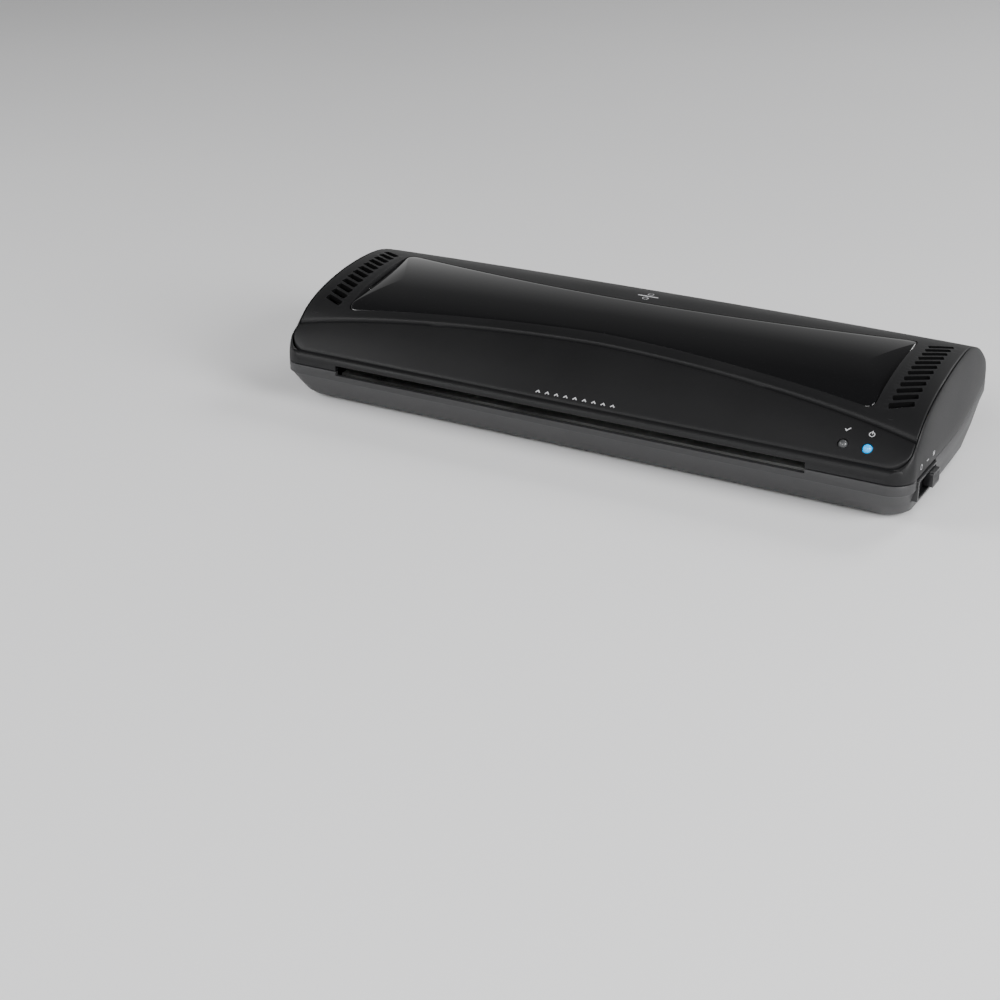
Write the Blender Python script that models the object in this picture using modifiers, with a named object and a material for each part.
"""Pouch laminator, A4 / 9-inch class.

Frame: +X along the length (the switch end), +Y towards the exit side, +Z up.
The origin is on the table under the middle of the object. Sizes below are in
millimetres and become metres where the meshes are made. Lengths (X) and
depths (Y) below are counted from the middle of the shell and from the works
line, and the root empty carries everything by WORKS_X and WORKS_Y so that the
origin falls in the middle.
"""
import math

import bmesh
import bpy
from mathutils import Matrix, Vector

for _ob in list(bpy.data.objects):
    bpy.data.objects.remove(_ob, do_unlink=True)

MM = 0.001
GAP = 0.3                 # play kept between neighbours that touch

# ---------------------------------------------------------------- dimensions
HALF_LENGTH = 153.9       # plan outline at the parting line
FRONT_Y, REAR_Y = -48.5, 75.5
WORKS_Y = -(FRONT_Y + REAR_Y) / 2
CORNER_FRONT = 10.0
CORNER_REAR = 9.0
PARTING_Z = 20.6
PARTING_BEND_Y = 18.5     # the parting line climbs from here to the rear
PARTING_CLIMB = 10.0
APEX_Y = 28.5             # highest line of the dome
APEX_Z = 54.1
DOME_RUN = 63.0           # from the apex forward to the dome's foot
CROWN = 1.55              # the dome is a little higher in the middle
DOME_REAR = 52.0          # from the apex back to the dome's foot
SEAM_X = 152.0            # cover and front panel end here
CHEEK_EDGE = 1.7          # least width of the end cheeks
RIM_SEAM_Y = -45.6        # front edge of the front panel
RIM_SEAM_Z = 26.6
PANEL_CORNER = 6.5
COVER_END_Y = 70.2
COVER_T = 2.2
SLOT_HALF = 116.5         # feed slot: 233 mm
SLOT_X = -6.4             # the slot sits a little off the middle
MOUTH_Z0, MOUTH_Z1 = 18.2, 23.0
BASE_Z0 = 2.2             # underside of the base
FLOOR_Z = 4.4             # inside floor
BAND_Z = 15.6             # lower edge of the vertical band
PATH_Z = 21.0             # plane of the pouch
ROLLER_Y = 16.5
ROLLER_R = 7.0
NIP = 0.3
ROLLER_HALF = 115.5
SHAFT_R = 3.0
LOW_Z = PATH_Z - ROLLER_R - NIP / 2
TOP_Z = PATH_Z + ROLLER_R + NIP / 2
FRAME_X = 124.0           # inner face of the side frames
FRAME_T = 1.2
MODULE = (TOP_Z - LOW_Z) / 16.0
GEAR_X0, GEAR_X1 = -132.0, -127.0
VENTS = 12
SWITCH_X = 154.6          # face of the switch bezel
KNOB_X = 156.6
SWITCH_Y0, SWITCH_Y1 = -36.0, -11.0
SWITCH_Z0, SWITCH_Z1 = 9.8, 19.4
LED_Y = -41.0
LED_XS = {"ready": 123.0, "power": 133.4}
PANEL_TILT = 41.0         # slope of the panel at the lights
WORKS_X = (HALF_LENGTH - KNOB_X) / 2
MOTOR = (-4.8, 25.0)      # y, z of the motor can's axis
MOTOR_R = 17.5
EAR_ANGLES = (235.0, 55.0)

parts = bpy.data.collections.new("pouch_laminator")
cutters = bpy.data.collections.new("cutters")
for _c in (parts, cutters):
    bpy.context.scene.collection.children.link(_c)

# ---------------------------------------------------------------- materials
MATERIALS = {
    "housing_plastic": ((0.020, 0.020, 0.022), 0.55, 0.0),
    "base_plastic": ((0.045, 0.045, 0.048), 0.55, 0.0),
    "gloss_black": ((0.006, 0.006, 0.007), 0.06, 0.0),
    "switch_black": ((0.012, 0.012, 0.013), 0.40, 0.0),
    "lens_grey": ((0.30, 0.31, 0.32), 0.25, 0.0),
    "lens_cyan": ((0.02, 0.65, 0.95), 0.20, 0.0),
    "foot_rubber": ((0.02, 0.02, 0.02), 0.85, 0.0),
    "silicone": ((0.35, 0.07, 0.04), 0.60, 0.0),
    "steel": ((0.55, 0.55, 0.56), 0.35, 1.0),
    "zinc_sheet": ((0.50, 0.51, 0.50), 0.45, 1.0),
    "aluminium": ((0.72, 0.73, 0.74), 0.38, 1.0),
    "gear_nylon": ((0.75, 0.73, 0.66), 0.45, 0.0),
    "bearing_bronze": ((0.45, 0.28, 0.12), 0.40, 1.0),
    "heater_mica": ((0.55, 0.45, 0.30), 0.60, 0.0),
    "board_green": ((0.02, 0.16, 0.06), 0.45, 0.0),
    "component_blue": ((0.03, 0.06, 0.22), 0.40, 0.0),
    "component_yellow": ((0.70, 0.50, 0.05), 0.50, 0.0),
}


def material(name):
    mat = bpy.data.materials.get(name)
    if mat is None:
        colour, rough, metal = MATERIALS[name]
        mat = bpy.data.materials.new(name)
        mat.use_nodes = True
        shader = mat.node_tree.nodes["Principled BSDF"]
        shader.inputs["Base Color"].default_value = (*colour, 1.0)
        shader.inputs["Roughness"].default_value = rough
        shader.inputs["Metallic"].default_value = metal
        mat.diffuse_color = (*colour, 1.0)
        mat.roughness = rough
        mat.metallic = metal
    return mat


# ---------------------------------------------------------------- helpers
def add(name, mesh, mat=None, smooth=None, cutter=False):
    ob = bpy.data.objects.new(name, mesh)
    if cutter:
        cutters.objects.link(ob)
        ob.hide_render = True
        ob.display_type = "WIRE"
    else:
        parts.objects.link(ob)
        if mat:
            mesh.materials.append(material(mat))
    if smooth is not None:
        mesh.shade_smooth()
        mesh.set_sharp_from_angle(angle=math.radians(smooth))
    return ob


def finish_bm(bm, name):
    bmesh.ops.recalc_face_normals(bm, faces=bm.faces[:])
    mesh = bpy.data.meshes.new(name)
    bm.to_mesh(mesh)
    bm.free()
    return mesh


def box(name, x, y, z, mat=None, bevel=0.0, cutter=False):
    """Box between the limits x=(a, b), y=(a, b), z=(a, b)."""
    bm = bmesh.new()
    size = [(b - a) * MM for a, b in (x, y, z)]
    mid = [(a + b) / 2 * MM for a, b in (x, y, z)]
    bmesh.ops.create_cube(bm, size=1.0, matrix=Matrix.Diagonal((*size, 1.0)))
    ob = add(name, finish_bm(bm, name), mat, 40, cutter)
    ob.location = mid
    if bevel:
        mod = ob.modifiers.new("edges", "BEVEL")
        mod.width = bevel * MM
        mod.segments = 1
        mod.limit_method = "ANGLE"
    return ob


AXES = {"X": Matrix.Rotation(math.pi / 2, 4, "Y"), "Y": Matrix.Rotation(-math.pi / 2, 4, "X"), "Z": Matrix.Identity(4)}


def rod(name, axis, at, r, span, mat=None, sides=20, r2=None, cutter=False):
    """Cylinder or cone along an axis, between span[0] and span[1]; at gives
    the other two coordinates in order."""
    bm = bmesh.new()
    bmesh.ops.create_cone(bm, cap_ends=True, segments=sides, radius1=r * MM,
                          radius2=(r if r2 is None else r2) * MM,
                          depth=(span[1] - span[0]) * MM, matrix=AXES[axis])
    ob = add(name, finish_bm(bm, name), mat, 40, cutter)
    mid = (span[0] + span[1]) / 2
    ob.location = Vector({"X": (mid, *at), "Y": (at[0], mid, at[1]), "Z": (*at, mid)}[axis]) * MM
    return ob


def turned(name, axis, at, profile, mat=None, sides=24, cutter=False):
    """Turned shape: profile is a closed loop of (radius, position), its outer
    side from the far end down to the near end."""
    bm = bmesh.new()
    pts = [bm.verts.new((r * MM, 0.0, h * MM)) for r, h in profile]
    for a, b in zip(pts, pts[1:]):
        bm.edges.new((a, b))
    if min(profile[0][0], profile[-1][0]) > 0:
        bm.edges.new((pts[-1], pts[0]))
    mesh = bpy.data.meshes.new(name)
    bm.to_mesh(mesh)
    bm.free()
    ob = add(name, mesh, mat, 40, cutter)
    ob.matrix_world = Matrix.Translation(Vector({"X": (0, *at), "Y": (at[0], 0, at[1]), "Z": (*at, 0)}[axis]) * MM) @ AXES[axis]
    mod = ob.modifiers.new("turn", "SCREW")
    mod.steps = mod.render_steps = sides
    mod.use_merge_vertices = True
    mod.merge_threshold = 0.00002
    mod.use_normal_calculate = False
    mod.use_smooth_shade = True
    return ob


def flat(name, outline, holes, axis, span, mat=None, cutter=False):
    """Flat piece from 2D outlines, extruded along the axis between span[0]
    and span[1]. Outline points are (y, z) on X, (x, z) on Y and (x, y) on Z."""
    curve = bpy.data.curves.new(name, "CURVE")
    curve.dimensions = "2D"
    curve.fill_mode = "BOTH"
    curve.extrude = (span[1] - span[0]) / 2 * MM
    for loop in [outline] + list(holes):
        sp = curve.splines.new("POLY")
        sp.points.add(len(loop) - 1)
        for p, (a, b) in zip(sp.points, loop):
            p.co = (a * MM, b * MM, 0.0, 1.0)
        sp.use_cyclic_u = True
    tmp = bpy.data.objects.new(name + "_outline", curve)
    parts.objects.link(tmp)
    bpy.context.view_layer.update()
    deps = bpy.context.evaluated_depsgraph_get()
    mesh = bpy.data.meshes.new_from_object(tmp.evaluated_get(deps))
    bpy.data.objects.remove(tmp, do_unlink=True)
    bpy.data.curves.remove(curve)
    mid = (span[0] + span[1]) / 2 * MM
    place = {"X": Matrix(((0, 0, 1, mid), (1, 0, 0, 0), (0, 1, 0, 0), (0, 0, 0, 1))),
             "Y": Matrix(((1, 0, 0, 0), (0, 0, -1, mid), (0, 1, 0, 0), (0, 0, 0, 1))),
             "Z": Matrix.Translation((0, 0, mid))}[axis]
    bm = bmesh.new()
    bm.from_mesh(mesh)
    bmesh.ops.remove_doubles(bm, verts=bm.verts[:], dist=0.000005)
    bmesh.ops.transform(bm, matrix=place, verts=bm.verts[:])
    bpy.data.meshes.remove(mesh)
    return add(name, finish_bm(bm, name), mat, 40, cutter)


def recentre(ob, point):
    """Moves the object's origin to a point in mm, on a joint's axis."""
    bpy.context.view_layer.update()
    new = Vector(point) * MM
    shift = ob.matrix_world.inverted() @ new
    ob.data.transform(Matrix.Translation(-shift))
    ob.matrix_world = ob.matrix_world @ Matrix.Translation(shift)
    return ob


def boolean(ob, tool, operation="DIFFERENCE"):
    mod = ob.modifiers.new(operation.lower() + "_" + tool.name, "BOOLEAN")
    mod.operation = operation
    mod.solver = "EXACT"
    mod.object = tool
    return mod


def circle(cx, cy, r, n=16, start=0.0):
    return [(cx + r * math.cos(start + 2 * math.pi * i / n), cy + r * math.sin(start + 2 * math.pi * i / n)) for i in range(n)]


def rounded(x0, y0, x1, y1, r, n=4):
    """Rounded rectangle; r is one radius or four (from x0,y0 counterclockwise)."""
    rs = [r] * 4 if not isinstance(r, (list, tuple)) else r
    out = []
    for (cx, cy, a0), q in zip(((x0, y0, 180), (x1, y0, 270), (x1, y1, 0), (x0, y1, 90)), rs):
        px = cx + (q if cx == x0 else -q)
        py = cy + (q if cy == y0 else -q)
        for i in range(n + 1):
            a = math.radians(a0 + 90 * i / n)
            out.append((px + q * math.cos(a), py + q * math.sin(a)))
    return out


def loft(name, rings, mat=None, smooth=35, cutter=False):
    """Closed solid through rings of equal point count (lists of (x, y, z))."""
    bm = bmesh.new()
    loops = [[bm.verts.new((x * MM, y * MM, z * MM)) for x, y, z in ring] for ring in rings]
    n = len(loops[0])
    for a, b in zip(loops, loops[1:]):
        for i in range(n):
            j = (i + 1) % n
            bm.faces.new((a[i], a[j], b[j], b[i]))
    bm.faces.new(loops[0][::-1])
    bm.faces.new(loops[-1])
    bmesh.ops.recalc_face_normals(bm, faces=bm.faces[:])
    bmesh.ops.triangulate(bm, faces=[f for f in bm.faces if len(f.verts) > 4])
    return add(name, finish_bm(bm, name), mat, smooth, cutter)


# ---------------------------------------------------------------- outer form
def narrow(y):
    return 0.00025 * max(0.0, y + 30.0) ** 2


def half_width(y):
    w = HALF_LENGTH - narrow(y)
    d = max(FRONT_Y + CORNER_FRONT - y, 0.0)
    e = max(y - REAR_Y + CORNER_REAR, 0.0)
    w -= CORNER_FRONT - math.sqrt(max(CORNER_FRONT ** 2 - d * d, 0.0))
    return w - (CORNER_REAR - math.sqrt(max(CORNER_REAR ** 2 - e * e, 0.0)))


def parting(y):
    """Height of the line where the upper shell meets the base."""
    u = min(max(y - PARTING_BEND_Y, 0.0) / (REAR_Y - PARTING_BEND_Y), 1.0)
    return PARTING_Z + PARTING_CLIMB * u ** 1.6


def seam_x(y):
    """Line between the cover or panel and the end cheeks."""
    return min(SEAM_X, half_width(y) - CHEEK_EDGE)


def crown(x):
    return CROWN * (1.0 - min(abs(x) / 157.0, 1.0) ** 2.4)


def dome(x, y):
    if y <= APEX_Y:
        t = (APEX_Y - y) / DOME_RUN
        return APEX_Z - 13.4 * t * t - 4.4 * t ** 10 + crown(x)
    t = (y - APEX_Y) / DOME_REAR
    return 28.2 + (APEX_Z - 28.2 + crown(x)) * (1.0 - t * t)


def arch(x):
    return -20.3 - 14.2 * (abs(x) / 151.0) ** 1.6


def panel(x, y):
    if y < RIM_SEAM_Y:
        u = (RIM_SEAM_Y - y) / (RIM_SEAM_Y - FRONT_Y) * 0.985
        return PARTING_Z + (RIM_SEAM_Z - PARTING_Z) * (1.0 - u ** 2.6) ** (1 / 2.6)
    ya = arch(x)
    s = min((y - RIM_SEAM_Y) / (ya - RIM_SEAM_Y), 1.0)
    return RIM_SEAM_Z + (dome(x, ya) - 0.5 - RIM_SEAM_Z) * s + 0.9 * math.sin(math.pi * s)


def surface(x, y):
    """Upper skin before the cheeks' rounding."""
    x = min(abs(x), seam_x(y))
    z = panel(x, y) if y < arch(x) else dome(x, y)
    if y > REAR_Y - 4.6:
        low = parting(y)
        z = low + (z - low) * (1.0 - min((y - REAR_Y + 4.6) / 4.7, 1.0) ** 2.4) ** (1 / 2.4)
    return z


def fall(t):
    t = min(max(t, 0.0), 1.0)
    return (1.0 - t ** 2.4) ** (1 / 2.4)


def skin(x, y):
    w, x0 = half_width(y), seam_x(y)
    return parting(y) + (surface(x, y) - parting(y)) * fall((abs(x) - x0) / (w - x0))


def opening_outline(gap, y_end):
    """Outline of the space between the cheeks, rounded at the front corners."""
    r = PANEL_CORNER + gap
    y0 = RIM_SEAM_Y - gap
    side = [(seam_x(y) + gap, y) for y in (y0 + r, -30.0, -10.0, 10.0, 30.0, 46.0, 60.0, y_end)]
    cx = side[0][0] - r
    corner = [(cx + r * math.sin(math.radians(15 * i)), y0 + r - r * math.cos(math.radians(15 * i))) for i in range(6)]
    right = corner + side
    return [(-x, y) for x, y in reversed(right)] + right


STATIONS = [-48.5, -48.1, -47.4, -46.4, -45.0, -43.0, -40.0, -37.5, -35.0, -33.5, -30.0, -25.0,
            -16.0, -4.0, 12.0, 28.5, 42.0, 54.0, 66.5, 71.0, 73.0, 74.4, 75.2, 75.5]


def housing_ring(y):
    w, x0 = half_width(y), seam_x(y)
    low, top = parting(y), max(surface(x0, y), parting(y) + 0.3)
    side = []
    for i in range(7):
        a = math.pi / 2 * (1 - i / 6)
        side.append((x0 + (w - x0) * math.sin(a) ** (2 / 2.4),
                     low + (top - low) * (math.cos(a) ** (2 / 2.4) if i else 0.0)))
    return [(x, y, z) for x, z in side] + [(-x, y, z) for x, z in reversed(side)]


upper = loft("upper_housing", [housing_ring(y) for y in STATIONS], "housing_plastic", 30)
opening = flat("cut_cover_opening", opening_outline(0.0, COVER_END_Y + 0.4), [], "Z", (10.0, 70.0), cutter=True)
boolean(upper, opening)
mouth = box("cut_mouth", (SLOT_X - SLOT_HALF, SLOT_X + SLOT_HALF), (-60.0, -41.0), (MOUTH_Z0, MOUTH_Z1), cutter=True)
boolean(upper, mouth)
exit_cut = box("cut_exit", (SLOT_X - 117.0, SLOT_X + 117.0), (54.0, 90.0), (18.4, 24.4), cutter=True)


# ---------------------------------------------------------------- top cover
def patch(name, xs, ys_of, z_of, depth, mat=None, smooth=30, cutter=False, lift=0.0, x_of=None):
    """Grid over (x, v) laid on a height function, solidified downwards."""
    bm = bmesh.new()
    nx, ny = len(xs), len(ys_of(0.0))
    bmesh.ops.create_grid(bm, x_segments=nx - 1, y_segments=ny - 1, size=0.5)
    bm.verts.ensure_lookup_table()
    order = sorted(bm.verts, key=lambda v: (round(v.co.y, 6), round(v.co.x, 6)))
    for k, v in enumerate(order):
        j, i = divmod(k, nx)
        x = xs[i]
        y = ys_of(x)[j]
        if x_of:
            x = x_of(x, y)
        v.co = (x * MM, y * MM, (z_of(x, y) + lift) * MM)
    bmesh.ops.recalc_face_normals(bm, faces=bm.faces[:])
    if sum(f.normal.z for f in bm.faces) < 0:
        bmesh.ops.reverse_faces(bm, faces=bm.faces[:])
    mesh = bpy.data.meshes.new(name)
    bm.to_mesh(mesh)
    bm.free()
    ob = add(name, mesh, mat, smooth, cutter)
    mod = ob.modifiers.new("thickness", "SOLIDIFY")
    mod.thickness = depth * MM
    mod.offset = -1.0
    return ob


COVER_XS = [-152.0, -147.0, -132.0, -108.0, -80.0, -50.0, -22.0, 0.0,
            22.0, 50.0, 80.0, 108.0, 132.0, 147.0, 152.0]


def cover_rows(x):
    y0 = arch(x) + GAP
    rows = [y0 + (APEX_Y - y0) * (k / 6.0) ** 1.2 for k in range(7)]
    rows += [APEX_Y + (COVER_END_Y - APEX_Y) * k / 6.0 for k in range(1, 7)]
    return rows


cover = patch("top_cover", COVER_XS, cover_rows, dome, COVER_T, "housing_plastic",
              x_of=lambda x, y: x / SEAM_X * (seam_x(y) - GAP))

# vent slots, slanted, in two rows of twelve
bm = bmesh.new()
for sign in (-1, 1):
    for i in range(VENTS):
        a = Vector((sign * 136.7, 27.2 - 4.609 * i))
        b = Vector((sign * 144.0, 31.0 - 4.70 * i))
        along = math.atan2((b - a).y, (b - a).x)
        r = 1.22
        loop = []
        for centre, base in ((b, along - math.pi / 2), (a, along + math.pi / 2)):
            for k in range(4):
                t = base + math.pi * k / 3
                loop.append((centre.x + r * math.cos(t), centre.y + r * math.sin(t)))
        low = [bm.verts.new((x * MM, y * MM, 0.030)) for x, y in loop]
        face = bm.faces.new(low)
        up = bmesh.ops.extrude_face_region(bm, geom=[face])
        bmesh.ops.translate(bm, vec=(0, 0, 0.030), verts=[v for v in up["geom"] if isinstance(v, bmesh.types.BMVert)])
vents = add("cut_vents", finish_bm(bm, "cut_vents"), cutter=True)


def inlay_front(x):
    return -13.5 - 13.2 * (min(abs(x), 132.0) / 130.0) ** 1.45


def inlay_back(x):
    return 19.0 + 12.7 * (min(abs(x), 132.0) / 130.0) ** 2.1


def inlay_outline(grow):
    """Outline of the gloss panel: bowed front and back edges, small corners."""
    half = 129.8 + grow
    r = 5.0
    n = 11
    pts = []
    xs = [-half + r + (2 * half - 2 * r) * k / (n - 1) for k in range(n)]
    pts += [(x, inlay_front(x) - grow) for x in xs]
    fy, by = inlay_front(half) - grow, inlay_back(half) + grow
    pts += [(half - r * 0.30, fy + r * 0.18), (half, fy + r)]
    pts += [(half, by - r * 0.8), (half - r * 0.22, by - r * 0.28)]
    pts += [(x, inlay_back(x) + grow) for x in reversed(xs)]
    pts += [(-half + r * 0.22, by - r * 0.28), (-half, by - r * 0.8)]
    pts += [(-half, fy + r), (-half + r * 0.30, fy + r * 0.18)]
    return pts


INLAY_XS = [-138.0, -120.0, -96.0, -70.0, -44.0, -20.0, 0.0,
            20.0, 44.0, 70.0, 96.0, 120.0, 138.0]


def inlay_rows(x):
    y0, y1 = inlay_front(x) - 5.0, inlay_back(x) + 5.0
    return [y0 + (y1 - y0) * k / 7.0 for k in range(8)]


pocket = patch("cut_inlay_pocket", INLAY_XS, inlay_rows, dome, 4.0, cutter=True, lift=2.9)
boolean(pocket, flat("cut_inlay_pocket_outline", inlay_outline(GAP), [], "Z", (20.0, 70.0), cutter=True), "INTERSECT")
inlay = patch("gloss_inlay", INLAY_XS, inlay_rows, dome, 0.8, "gloss_black", 30, lift=0.0)
boolean(inlay, flat("cut_inlay_outline", inlay_outline(0.0), [], "Z", (20.0, 70.0), cutter=True), "INTERSECT")

POSTS = [(-136.0, 43.0), (136.0, 43.0), (-145.6, -27.2), (138.4, -26.4)]
for k, (px, py) in enumerate(POSTS):
    boolean(cover, rod("add_cover_post_%d" % k, "Z", (px, py), 3.4, (31.0, dome(px, py) - 1.2), sides=12, cutter=True), "UNION")
for k, (px, py) in enumerate(POSTS):
    boolean(cover, rod("cut_cover_post_%d" % k, "Z", (px, py), 1.8, (25.0, 40.0), sides=10, cutter=True))
boolean(cover, pocket)
boolean(cover, vents)

# ---------------------------------------------------------------- front panel
PANEL_XS = [-154.0, -146.0, -138.0, -120.0, -94.0, -66.0, -38.0, -12.0,
            12.0, 38.0, 66.0, 94.0, 120.0, 138.0, 146.0, 154.0]


def panel_rows(x):
    y0, y1 = RIM_SEAM_Y - 1.0, arch(min(abs(x), SEAM_X)) - GAP - 0.4
    return [y0 + (y1 - y0) * k / 5.0 for k in range(6)]


front = patch("front_panel", PANEL_XS, panel_rows, lambda x, y: panel(min(abs(x), SEAM_X), max(y, RIM_SEAM_Y)), 2.0, "housing_plastic")
boolean(front, flat("cut_panel_outline", opening_outline(-GAP, 60.0), [], "Z", (10.0, 70.0), cutter=True), "INTERSECT")
TILT = Matrix.Rotation(math.radians(PANEL_TILT), 4, "X")


def tilted(ob, x):
    """Stands a piece made at the origin on the panel's slope, at a light."""
    ob.matrix_world = Matrix.Translation(Vector((x, LED_Y, panel(x, LED_Y))) * MM) @ TILT
    return ob


for tag, lx in LED_XS.items():
    boolean(front, tilted(rod("cut_led_" + tag, "Z", (0.0, 0.0), 2.3, (-9.0, 6.0), sides=16, cutter=True), lx))

# ---------------------------------------------------------------- base
def base_ring(inset, yf, yr, rf, rr, z, follow=0.0):
    """Plan outline drawn in by inset at the sides, with its own front and
    rear; follow is how far its height goes along with the parting line."""
    side = []
    for i in range(7):
        a = math.radians(15 * i)
        side.append((HALF_LENGTH - inset - rf + rf * math.sin(a), yf + rf - rf * math.cos(a)))
    for y in (-20.0, 0.0, 12.0, 22.0, 30.0, 38.0) if yr < 60.0 else (-20.0, 0.0, 12.0, 28.5, 42.0, 54.0):
        side.append((HALF_LENGTH - narrow(y) - inset, y))
    y1 = yr - rr
    x1 = HALF_LENGTH - narrow(y1) - inset
    for i in range(7):
        a = math.radians(15 * i)
        side.append((x1 - rr + rr * math.cos(a), y1 + rr * math.sin(a)))
    ring = side + [(-x, y) for x, y in reversed(side)]
    return [(x, y, z + follow * (parting(y) - PARTING_Z)) for x, y in ring]


base = loft("base_housing", [
    base_ring(4.2, -37.4, 55.0, 10.0, 12.0, BASE_Z0),
    base_ring(3.1, -38.5, 56.2, 10.0, 12.0, BASE_Z0 + 1.2),
    base_ring(0.5, -47.9, 74.9, 10.0, 9.0, BAND_Z - 0.5, 1.0),
    base_ring(0.0, FRONT_Y, REAR_Y, CORNER_FRONT, CORNER_REAR, BAND_Z, 1.0),
    base_ring(0.0, FRONT_Y, REAR_Y, CORNER_FRONT, CORNER_REAR, PARTING_Z - 0.6, 1.0),
], "base_plastic", 25)
boolean(base, loft("cut_base_inside", [
    base_ring(5.8, -34.8, 52.4, 8.0, 10.0, FLOOR_Z),
    base_ring(2.5, -45.2, 72.4, 8.0, 7.0, BAND_Z - 0.5, 1.0),
    base_ring(1.9, -46.2, 73.4, 8.0, 7.0, BAND_Z + 0.6, 1.0),
    base_ring(1.9, -46.2, 73.4, 8.0, 7.0, PARTING_Z + 6.0, 1.0),
], cutter=True))
boolean(base, mouth)
boolean(base, exit_cut)
boolean(base, box("cut_switch", (140.0, 165.0), (SWITCH_Y0 - GAP, SWITCH_Y1 + GAP), (SWITCH_Z0 - GAP, 30.0), cutter=True))
GLAND = (132.0, 12.0)
boolean(base, rod("cut_gland", "Y", GLAND, 5.3, (50.0, 86.0), sides=20, cutter=True))
FEET = [(-130.0, -23.0), (130.0, -23.0), (130.0, 30.0), (-130.0, 30.0)]
for k, (px, py) in enumerate(FEET):
    boolean(base, rod("cut_foot_%d" % k, "Z", (px, py), 7.3, (0.0, 3.5), sides=16, cutter=True))
SCREW_POSTS = [(px, py, 30.7) for px, py in POSTS]
for k, (px, py, top) in enumerate(SCREW_POSTS):
    boolean(base, rod("add_post_%d" % k, "Z", (px, py), 4.2, (3.4, top), sides=12, cutter=True), "UNION")
for k, (px, py, top) in enumerate(SCREW_POSTS):
    boolean(base, rod("cut_post_head_%d" % k, "Z", (px, py), 3.3, (0.0, 8.0), sides=12, cutter=True))
    boolean(base, rod("cut_post_bore_%d" % k, "Z", (px, py), 1.8, (7.0, 40.0), sides=10, cutter=True))
FRAME_SCREW_YS = (-13.0, 31.0)
FRAME_SCREWS = [(s * 119.6, y) for s in (-1, 1) for y in FRAME_SCREW_YS]
for k, (px, py) in enumerate(FRAME_SCREWS):
    boolean(base, rod("cut_frame_screw_%d" % k, "Z", (px, py), 1.6, (3.3, 6.0), sides=8, cutter=True))

for k, (px, py) in enumerate(FEET):
    turned("foot_%d" % (k + 1), "Z", (px, py), [(0.0, 3.2), (7.0, 3.2), (7.0, 0.6), (6.4, 0.0), (0.0, 0.0)], "foot_rubber", 16)
for k, (px, py, top) in enumerate(SCREW_POSTS):
    turned("housing_screw_%d" % (k + 1), "Z", (px, py),
           [(0.0, top + 6.0), (1.5, top + 6.0), (1.5, 7.7), (3.0, 7.7), (3.0, 6.0), (0.0, 5.6)], "steel", 10)

# ---------------------------------------------------------------- lights
for tag, lx in LED_XS.items():
    prof = [(0.0, 1.25)]
    for i in range(1, 4):
        a = math.radians(90 - 30.0 * i)
        prof.append((1.95 * math.cos(a), -0.5 + 1.75 * math.sin(a)))
    prof += [(1.95, -2.9), (2.6, -2.9), (2.6, -4.2), (0.0, -4.2)]
    tilted(turned("led_" + tag, "Z", (0.0, 0.0), prof, "lens_grey" if tag == "ready" else "lens_cyan", 14), lx)
board = box("led_board", (-12.0, 12.0), (-3.0, 6.0), (-5.9, -4.5), "board_green")
board.matrix_world = Matrix.Translation(Vector((128.2, LED_Y, panel(128.2, LED_Y))) * MM) @ TILT @ Matrix.Translation(board.location)

# ---------------------------------------------------------------- switch
bezel = box("switch_bezel", (148.5, SWITCH_X), (SWITCH_Y0, SWITCH_Y1), (SWITCH_Z0, SWITCH_Z1), "switch_black", bevel=0.5)
boolean(bezel, box("add_switch_body", (143.5, 149.5), (SWITCH_Y0 + 3.0, SWITCH_Y1 - 3.0), (SWITCH_Z0 + 1.0, SWITCH_Z1 - 1.0), cutter=True), "UNION")
boolean(bezel, box("cut_switch_window", (152.1, 160.0), (SWITCH_Y0 + 1.9, SWITCH_Y1 - 1.3), (SWITCH_Z0 + 1.2, SWITCH_Z1 - 1.2), cutter=True))
KNOB_Y1 = SWITCH_Y1 - 1.3 - GAP
knob = box("switch_knob", (152.5, KNOB_X), (KNOB_Y1 - 9.4, KNOB_Y1), (SWITCH_Z0 + 1.6, SWITCH_Z1 - 1.6), "switch_black", bevel=0.5)
bm = bmesh.new()
for k in range(3):
    bmesh.ops.create_cube(bm, size=1.0, matrix=Matrix.Translation(Vector((KNOB_X + 0.05, KNOB_Y1 - 4.7 + (k - 1) * 2.4, (SWITCH_Z0 + SWITCH_Z1) / 2)) * MM)
                          @ Matrix.Diagonal((0.0010, 0.0009, 0.0052, 1.0)))
boolean(knob, add("cut_knob_grip", finish_bm(bm, "cut_knob_grip"), cutter=True))

# ---------------------------------------------------------------- guides and heater
def guide(name, profile, mat="zinc_sheet", half=122.4):
    """Sheet guide: a bent profile in (y, z) run along the length."""
    return flat(name, profile, [], "X", (-half, half), mat)


guide("entry_guide_lower", [(-43.8, 17.2), (-36.0, 17.3), (-22.4, 18.2), (-22.4, 19.4), (-36.0, 18.5), (-43.8, 18.3)])
flat("entry_guide_upper", [(-40.0, 24.3), (-22.4, 22.6), (-22.4, 23.8), (-37.0, 25.5), (-40.0, 25.5)], [], "X", (-122.4, 115.6), "zinc_sheet")
guide("exit_guide_lower", [(27.0, 13.6), (28.2, 13.0), (28.2, 18.2), (44.0, 17.2), (63.0, 16.6), (63.0, 17.8), (44.0, 18.5), (27.0, 19.6)])
guide("exit_guide_upper", [(27.0, 22.6), (44.0, 24.0), (66.0, 25.0), (66.0, 26.1), (44.0, 25.3), (28.2, 24.0), (28.2, 30.0), (27.0, 30.6)])

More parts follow.
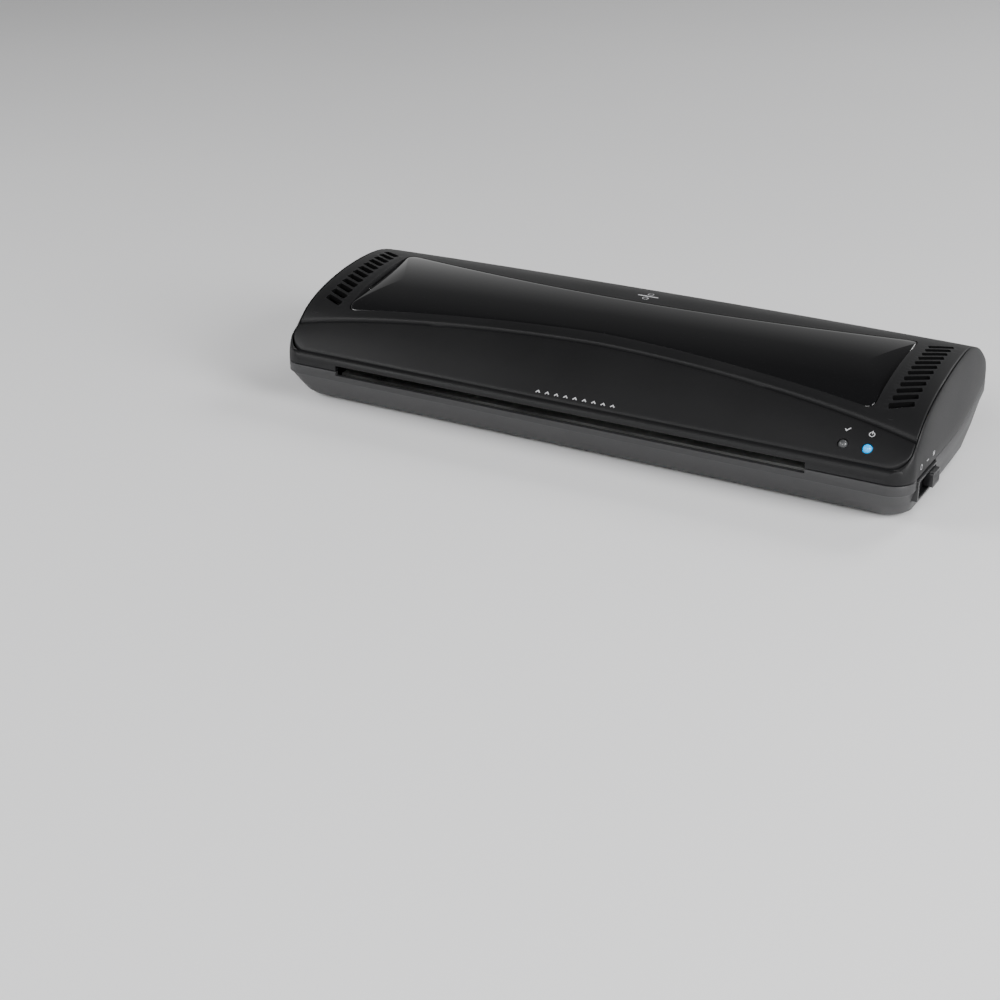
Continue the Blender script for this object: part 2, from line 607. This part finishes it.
SHOE_Y0, SHOE_Y1 = -21.6, 6.0
low_shoe = [(SHOE_Y0, 15.0), (SHOE_Y1, 15.0), (SHOE_Y1, 18.8), (SHOE_Y1 - 1.6, 19.7), (SHOE_Y0 + 2.6, 19.7), (SHOE_Y0, 18.6)]
top_shoe = [(SHOE_Y0, 23.5), (SHOE_Y0 + 2.6, 22.3), (SHOE_Y1 - 1.6, 22.3), (SHOE_Y1, 23.2), (SHOE_Y1, 27.0), (SHOE_Y0, 27.0)]
flat("heater_shoe_lower", low_shoe, [], "X", (-123.5, 123.5), "aluminium")
flat("heater_shoe_upper", top_shoe, [], "X", (-123.5, 123.5), "aluminium")
box("heating_element_lower", (-112.0, 112.0), (-18.0, 2.0), (13.5, 14.7), "heater_mica")
box("heating_element_upper", (-112.0, 112.0), (-18.0, -6.0), (27.3, 28.5), "heater_mica")
turned("thermostat", "Z", (-40.0, 0.2), [(0.0, 33.6), (4.6, 33.6), (5.4, 32.8), (5.4, 29.2), (3.6, 29.2), (3.6, 27.3), (0.0, 27.3)], "component_yellow", 20)
rod("thermal_fuse", "X", (-1.0, 29.2), 1.8, (20.0, 36.0), "component_blue", 14)

# ---------------------------------------------------------------- side frames
for sign, tag in ((-1, "left"), (1, "right")):
    lo, hi = (FRAME_X, FRAME_X + FRAME_T) if sign > 0 else (-FRAME_X - FRAME_T, -FRAME_X)
    outline = [(-27.0, 4.7), (36.0, 4.7), (36.0, 38.0), (26.0, 46.2), (-4.0, 45.6), (-14.0, 40.0), (-24.0, 33.0), (-27.0, 30.0)]
    slot = [(ROLLER_Y + 4.3 * math.cos(a), TOP_Z + 4.3 * math.sin(a)) for a in [math.radians(180 + 22.5 * i) for i in range(9)]]
    slot += [(ROLLER_Y + 4.3 * math.cos(a), TOP_Z + 1.0 + 4.3 * math.sin(a)) for a in [math.radians(22.5 * i) for i in range(9)]]
    frame = flat("side_frame_" + tag, outline, [slot, circle(ROLLER_Y, LOW_Z, 4.3)], "X", (lo, hi), "zinc_sheet")
    a, b = sorted((sign * 115.0, sign * (FRAME_X + 0.6)))
    boolean(frame, box("add_frame_foot_" + tag, (a, b), (-26.0, 35.0), (4.7, 5.9), cutter=True), "UNION")
    a, b = sorted((sign * 117.2, sign * (FRAME_X + 0.6)))
    boolean(frame, box("add_frame_tab_" + tag, (a, b), (12.0, 21.0), (43.6, 44.8), cutter=True), "UNION")
    for k, y in enumerate(FRAME_SCREW_YS):
        boolean(frame, rod("cut_frame_%s_%d" % (tag, k), "Z", (sign * 119.6, y), 1.8, (3.0, 9.0), sides=10, cutter=True))
for k, (px, py) in enumerate(FRAME_SCREWS):
    turned("frame_screw_%d" % (k + 1), "Z", (px, py),
           [(0.0, 8.2), (2.4, 8.0), (3.0, 7.4), (3.0, 6.2), (1.3, 6.2), (1.3, 3.5), (0.0, 3.5)], "steel", 10)

# ---------------------------------------------------------------- rollers
def ring_profile(r_in, r_out, a, b, chamfer=0.0):
    c = chamfer
    if c:
        return [(r_out - c, b), (r_out, b - c), (r_out, a + c), (r_out - c, a), (r_in, a), (r_in, b)]
    return [(r_out, b), (r_out, a), (r_in, a), (r_in, b)]


for tag, z in (("lower", LOW_Z), ("upper", TOP_Z)):
    at = (ROLLER_Y, z)
    turned(tag + "_roller_shaft", "X", at,
           [(0.0, 129.0), (2.6, 129.0), (3.0, 128.6), (3.0, 128.0), (2.3, 128.0), (2.3, 126.8), (3.0, 126.8),
            (3.0, -132.6), (2.6, -133.0), (0.0, -133.0)], "steel", 16)
    turned(tag + "_roller_sleeve", "X", at, ring_profile(SHAFT_R + GAP, ROLLER_R, -ROLLER_HALF, ROLLER_HALF, 0.6), "silicone", 24)
    # retaining ring: an open C in the shaft's groove
    arc = [math.radians(40 + 280 * i / 10) for i in range(11)]
    ring = [(ROLLER_Y + 4.6 * math.sin(t), z + 4.6 * math.cos(t)) for t in arc]
    ring += [(ROLLER_Y + 2.6 * math.sin(t), z + 2.6 * math.cos(t)) for t in reversed(arc)]
    recentre(flat(tag + "_retaining_ring", ring, [], "X", (127.1, 127.7), "steel"), (0.0, ROLLER_Y, z))

for sign, tag in ((-1, "left"), (1, "right")):
    s = sign
    prof = [(SHAFT_R + GAP, 122.4), (5.6, 122.4), (5.6, 123.7), (4.0, 123.7), (4.0, 126.2), (SHAFT_R + GAP, 126.2)]
    prof = [(r, s * h) for r, h in prof]
    if s > 0:
        prof = list(reversed(prof))
        # outer side from the far end down: start on the outer wall
        prof = [(4.0, 126.2), (4.0, 123.7), (5.6, 123.7), (5.6, 122.4), (SHAFT_R + GAP, 122.4), (SHAFT_R + GAP, 126.2)]
    else:
        prof = [(5.6, -122.4), (5.6, -123.7), (4.0, -123.7), (4.0, -126.2), (SHAFT_R + GAP, -126.2), (SHAFT_R + GAP, -122.4)]
    turned("lower_bearing_" + tag, "X", (ROLLER_Y, LOW_Z), prof, "bearing_bronze", 14)
    a, b = sorted((s * 117.6, s * 123.7))
    block = box("upper_bearing_" + tag, (a, b), (ROLLER_Y - 5.6, ROLLER_Y + 5.6), (TOP_Z - 5.6, TOP_Z + 5.2), "gear_nylon", bevel=0.6)
    a, b = sorted((s * 123.0, s * 126.2))
    boolean(block, rod("add_bearing_neck_" + tag, "X", (ROLLER_Y, TOP_Z), 4.0, (a, b), sides=16, cutter=True), "UNION")
    a, b = sorted((s * 115.0, s * 130.0))
    boolean(block, rod("cut_bearing_bore_" + tag, "X", (ROLLER_Y, TOP_Z), SHAFT_R + GAP, (a, b), sides=16, cutter=True))

    # pressure spring on the block
    curve = bpy.data.curves.new("pressure_spring_" + tag, "CURVE")
    curve.dimensions = "3D"
    curve.bevel_depth = 0.4 * MM
    curve.bevel_resolution = 0
    curve.use_fill_caps = True
    turns, per = 4, 10
    z0, z1 = TOP_Z + 5.2 + GAP + 0.4, 43.6 - GAP - 0.4
    sp = curve.splines.new("POLY")
    count = turns * per + 1
    sp.points.add(count - 1)
    for i, p in enumerate(sp.points):
        a = 2 * math.pi * i / per
        p.co = (s * 120.6 * MM + 2.3 * MM * math.cos(a), ROLLER_Y * MM + 2.3 * MM * math.sin(a), (z0 + (z1 - z0) * i / (count - 1)) * MM, 1.0)
    ob = bpy.data.objects.new("pressure_spring_" + tag, curve)
    parts.objects.link(ob)
    curve.materials.append(material("steel"))


# ---------------------------------------------------------------- gears
def gear_outline(cy, cz, teeth, phase):
    """Spur gear outline: straight-sided teeth with rounded-off tips, cut thin
    enough to keep play at every angle."""
    pitch = MODULE * teeth / 2
    ra, rf = pitch + 0.80 * MODULE, pitch - 1.18 * MODULE
    out = []
    step = 2 * math.pi / teeth
    for k in range(teeth):
        c = phase + k * step
        for r, half in ((rf, 0.33), (pitch + 0.05 * MODULE, 0.20), (ra, 0.085)):
            out.append((r, c - half * step))
        for r, half in ((ra, 0.085), (pitch + 0.05 * MODULE, 0.20), (rf, 0.33)):
            out.append((r, c + half * step))
    return [(cy + r * math.cos(a), cz + r * math.sin(a)) for r, a in out]


G_LOW, G_TOP = (ROLLER_Y, LOW_Z), (ROLLER_Y, TOP_Z)
IDLER_TEETH, PINION_TEETH = 20, 12
_d = MODULE * (16 + IDLER_TEETH) / 2
_rise = 1.75
IDLER = (ROLLER_Y - math.sqrt(_d * _d - _rise * _rise), LOW_Z + _rise)
_d2 = MODULE * (IDLER_TEETH + PINION_TEETH) / 2
PINION = (IDLER[0] - _d2 * math.cos(math.radians(60)), IDLER[1] + _d2 * math.sin(math.radians(60)))


def mesh_phase(driver, driver_teeth, driver_phase, follower, follower_teeth):
    """Phase of a follower so that a gap of it faces a tooth of the driver."""
    ang = math.atan2(follower[1] - driver[1], follower[0] - driver[0])
    # angle of the driver's nearest tooth from the line of centres, in pitches
    off = ((ang - driver_phase) / (2 * math.pi / driver_teeth)) % 1.0
    step = 2 * math.pi / follower_teeth
    # seen from the follower the line of centres points back
    return ang + math.pi + (off + 0.5) * step


phase_low = 0.0
phase_top = mesh_phase(G_LOW, 16, phase_low, G_TOP, 16)
phase_idler = mesh_phase(G_LOW, 16, phase_low, IDLER, IDLER_TEETH)
phase_pinion = mesh_phase(IDLER, IDLER_TEETH, phase_idler, PINION, PINION_TEETH)

for name, centre, teeth, phase, bore in (("lower_roller_gear", G_LOW, 16, phase_low, SHAFT_R + GAP),
                                         ("upper_roller_gear", G_TOP, 16, phase_top, SHAFT_R + GAP),
                                         ("idler_gear", IDLER, IDLER_TEETH, phase_idler, 2.3),
                                         ("motor_pinion", PINION, PINION_TEETH, phase_pinion, None)):
    holes = [circle(*centre, bore, 16)] if bore else []
    gear = flat(name, gear_outline(*centre, teeth, phase), holes, "X", (GEAR_X0, GEAR_X1), "gear_nylon")
    if name == "motor_pinion":
        boolean(gear, rod("add_pinion_shaft", "X", centre, 2.0, (-135.0, -131.0), sides=14, cutter=True), "UNION")
    recentre(gear, (0.0, *centre))
turned("idler_pin", "X", IDLER, [(2.0, -125.5), (2.0, -132.4), (3.4, -132.4), (3.4, -133.4), (0.0, -133.4)], "steel", 16)
bpy.data.objects["idler_pin"].data.vertices.add(1)
_m = bpy.data.objects["idler_pin"].data
_m.vertices[-1].co = (0.0, 0.0, -125.5 * MM)
_m.edges.add(1)
_m.edges[-1].vertices = (len(_m.vertices) - 1, 0)

# ---------------------------------------------------------------- motor
motor = rod("gear_motor", "X", MOTOR, MOTOR_R, (-145.4, -135.3), "zinc_sheet", 28)
for k, deg in enumerate(EAR_ANGLES):
    a = math.radians(deg)
    ey, ez = MOTOR[0] + 20.3 * math.cos(a), MOTOR[1] + 20.3 * math.sin(a)
    n = Vector((-math.sin(a), math.cos(a)))
    d = Vector((math.cos(a), math.sin(a)))
    c = Vector(MOTOR)
    base_pts = [c + d * 14.0 + n * 4.6, c + d * 14.0 - n * 4.6]
    tip = [(ey + 3.3 * math.cos(a + t), ez + 3.3 * math.sin(a + t)) for t in [math.radians(-90 + 30 * i) for i in range(7)]]
    ear = [tuple(base_pts[1])] + tip + [tuple(base_pts[0])]
    boolean(motor, flat("add_motor_ear_%d" % k, ear, [circle(ey, ez, 1.7, 10)], "X", (-136.9, -135.5), cutter=True), "UNION")
    ring = [(2.3, -125.5), (2.3, -135.2), (1.7, -135.2), (1.7, -125.5)]
    turned("motor_standoff_%d" % (k + 1), "X", (ey, ez), ring, "bearing_bronze", 14)
    turned("motor_screw_%d" % (k + 1), "X", (ey, ez),
           [(0.0, -128.0), (1.4, -128.0), (1.4, -137.2), (2.7, -137.2), (2.7, -138.4), (0.0, -138.9)], "steel", 10)

# ---------------------------------------------------------------- electronics
box("control_board", (129.0, 143.0), (-12.0, 37.0), (8.0, 9.6), "board_green")
box("mains_transformer", (130.5, 142.5), (14.0, 30.0), (9.9, 24.0), "component_yellow", bevel=0.8)
rod("film_capacitor", "Z", (136.0, 4.0), 4.6, (9.9, 20.5), "component_blue", 18)
turned("cable_gland", "Y", GLAND, [(5.0, 63.6), (5.0, 52.0), (3.6, 52.0), (3.6, 58.0), (2.2, 58.0), (2.2, 63.6)], "switch_black", 16)

root = bpy.data.objects.new("laminator_root", None)
root.location = (WORKS_X * MM, WORKS_Y * MM, 0.0)
parts.objects.link(root)
for _ob in list(parts.objects) + list(cutters.objects):
    if _ob is not root and _ob.parent is None:
        _ob.parent = root
bpy.context.view_layer.update()
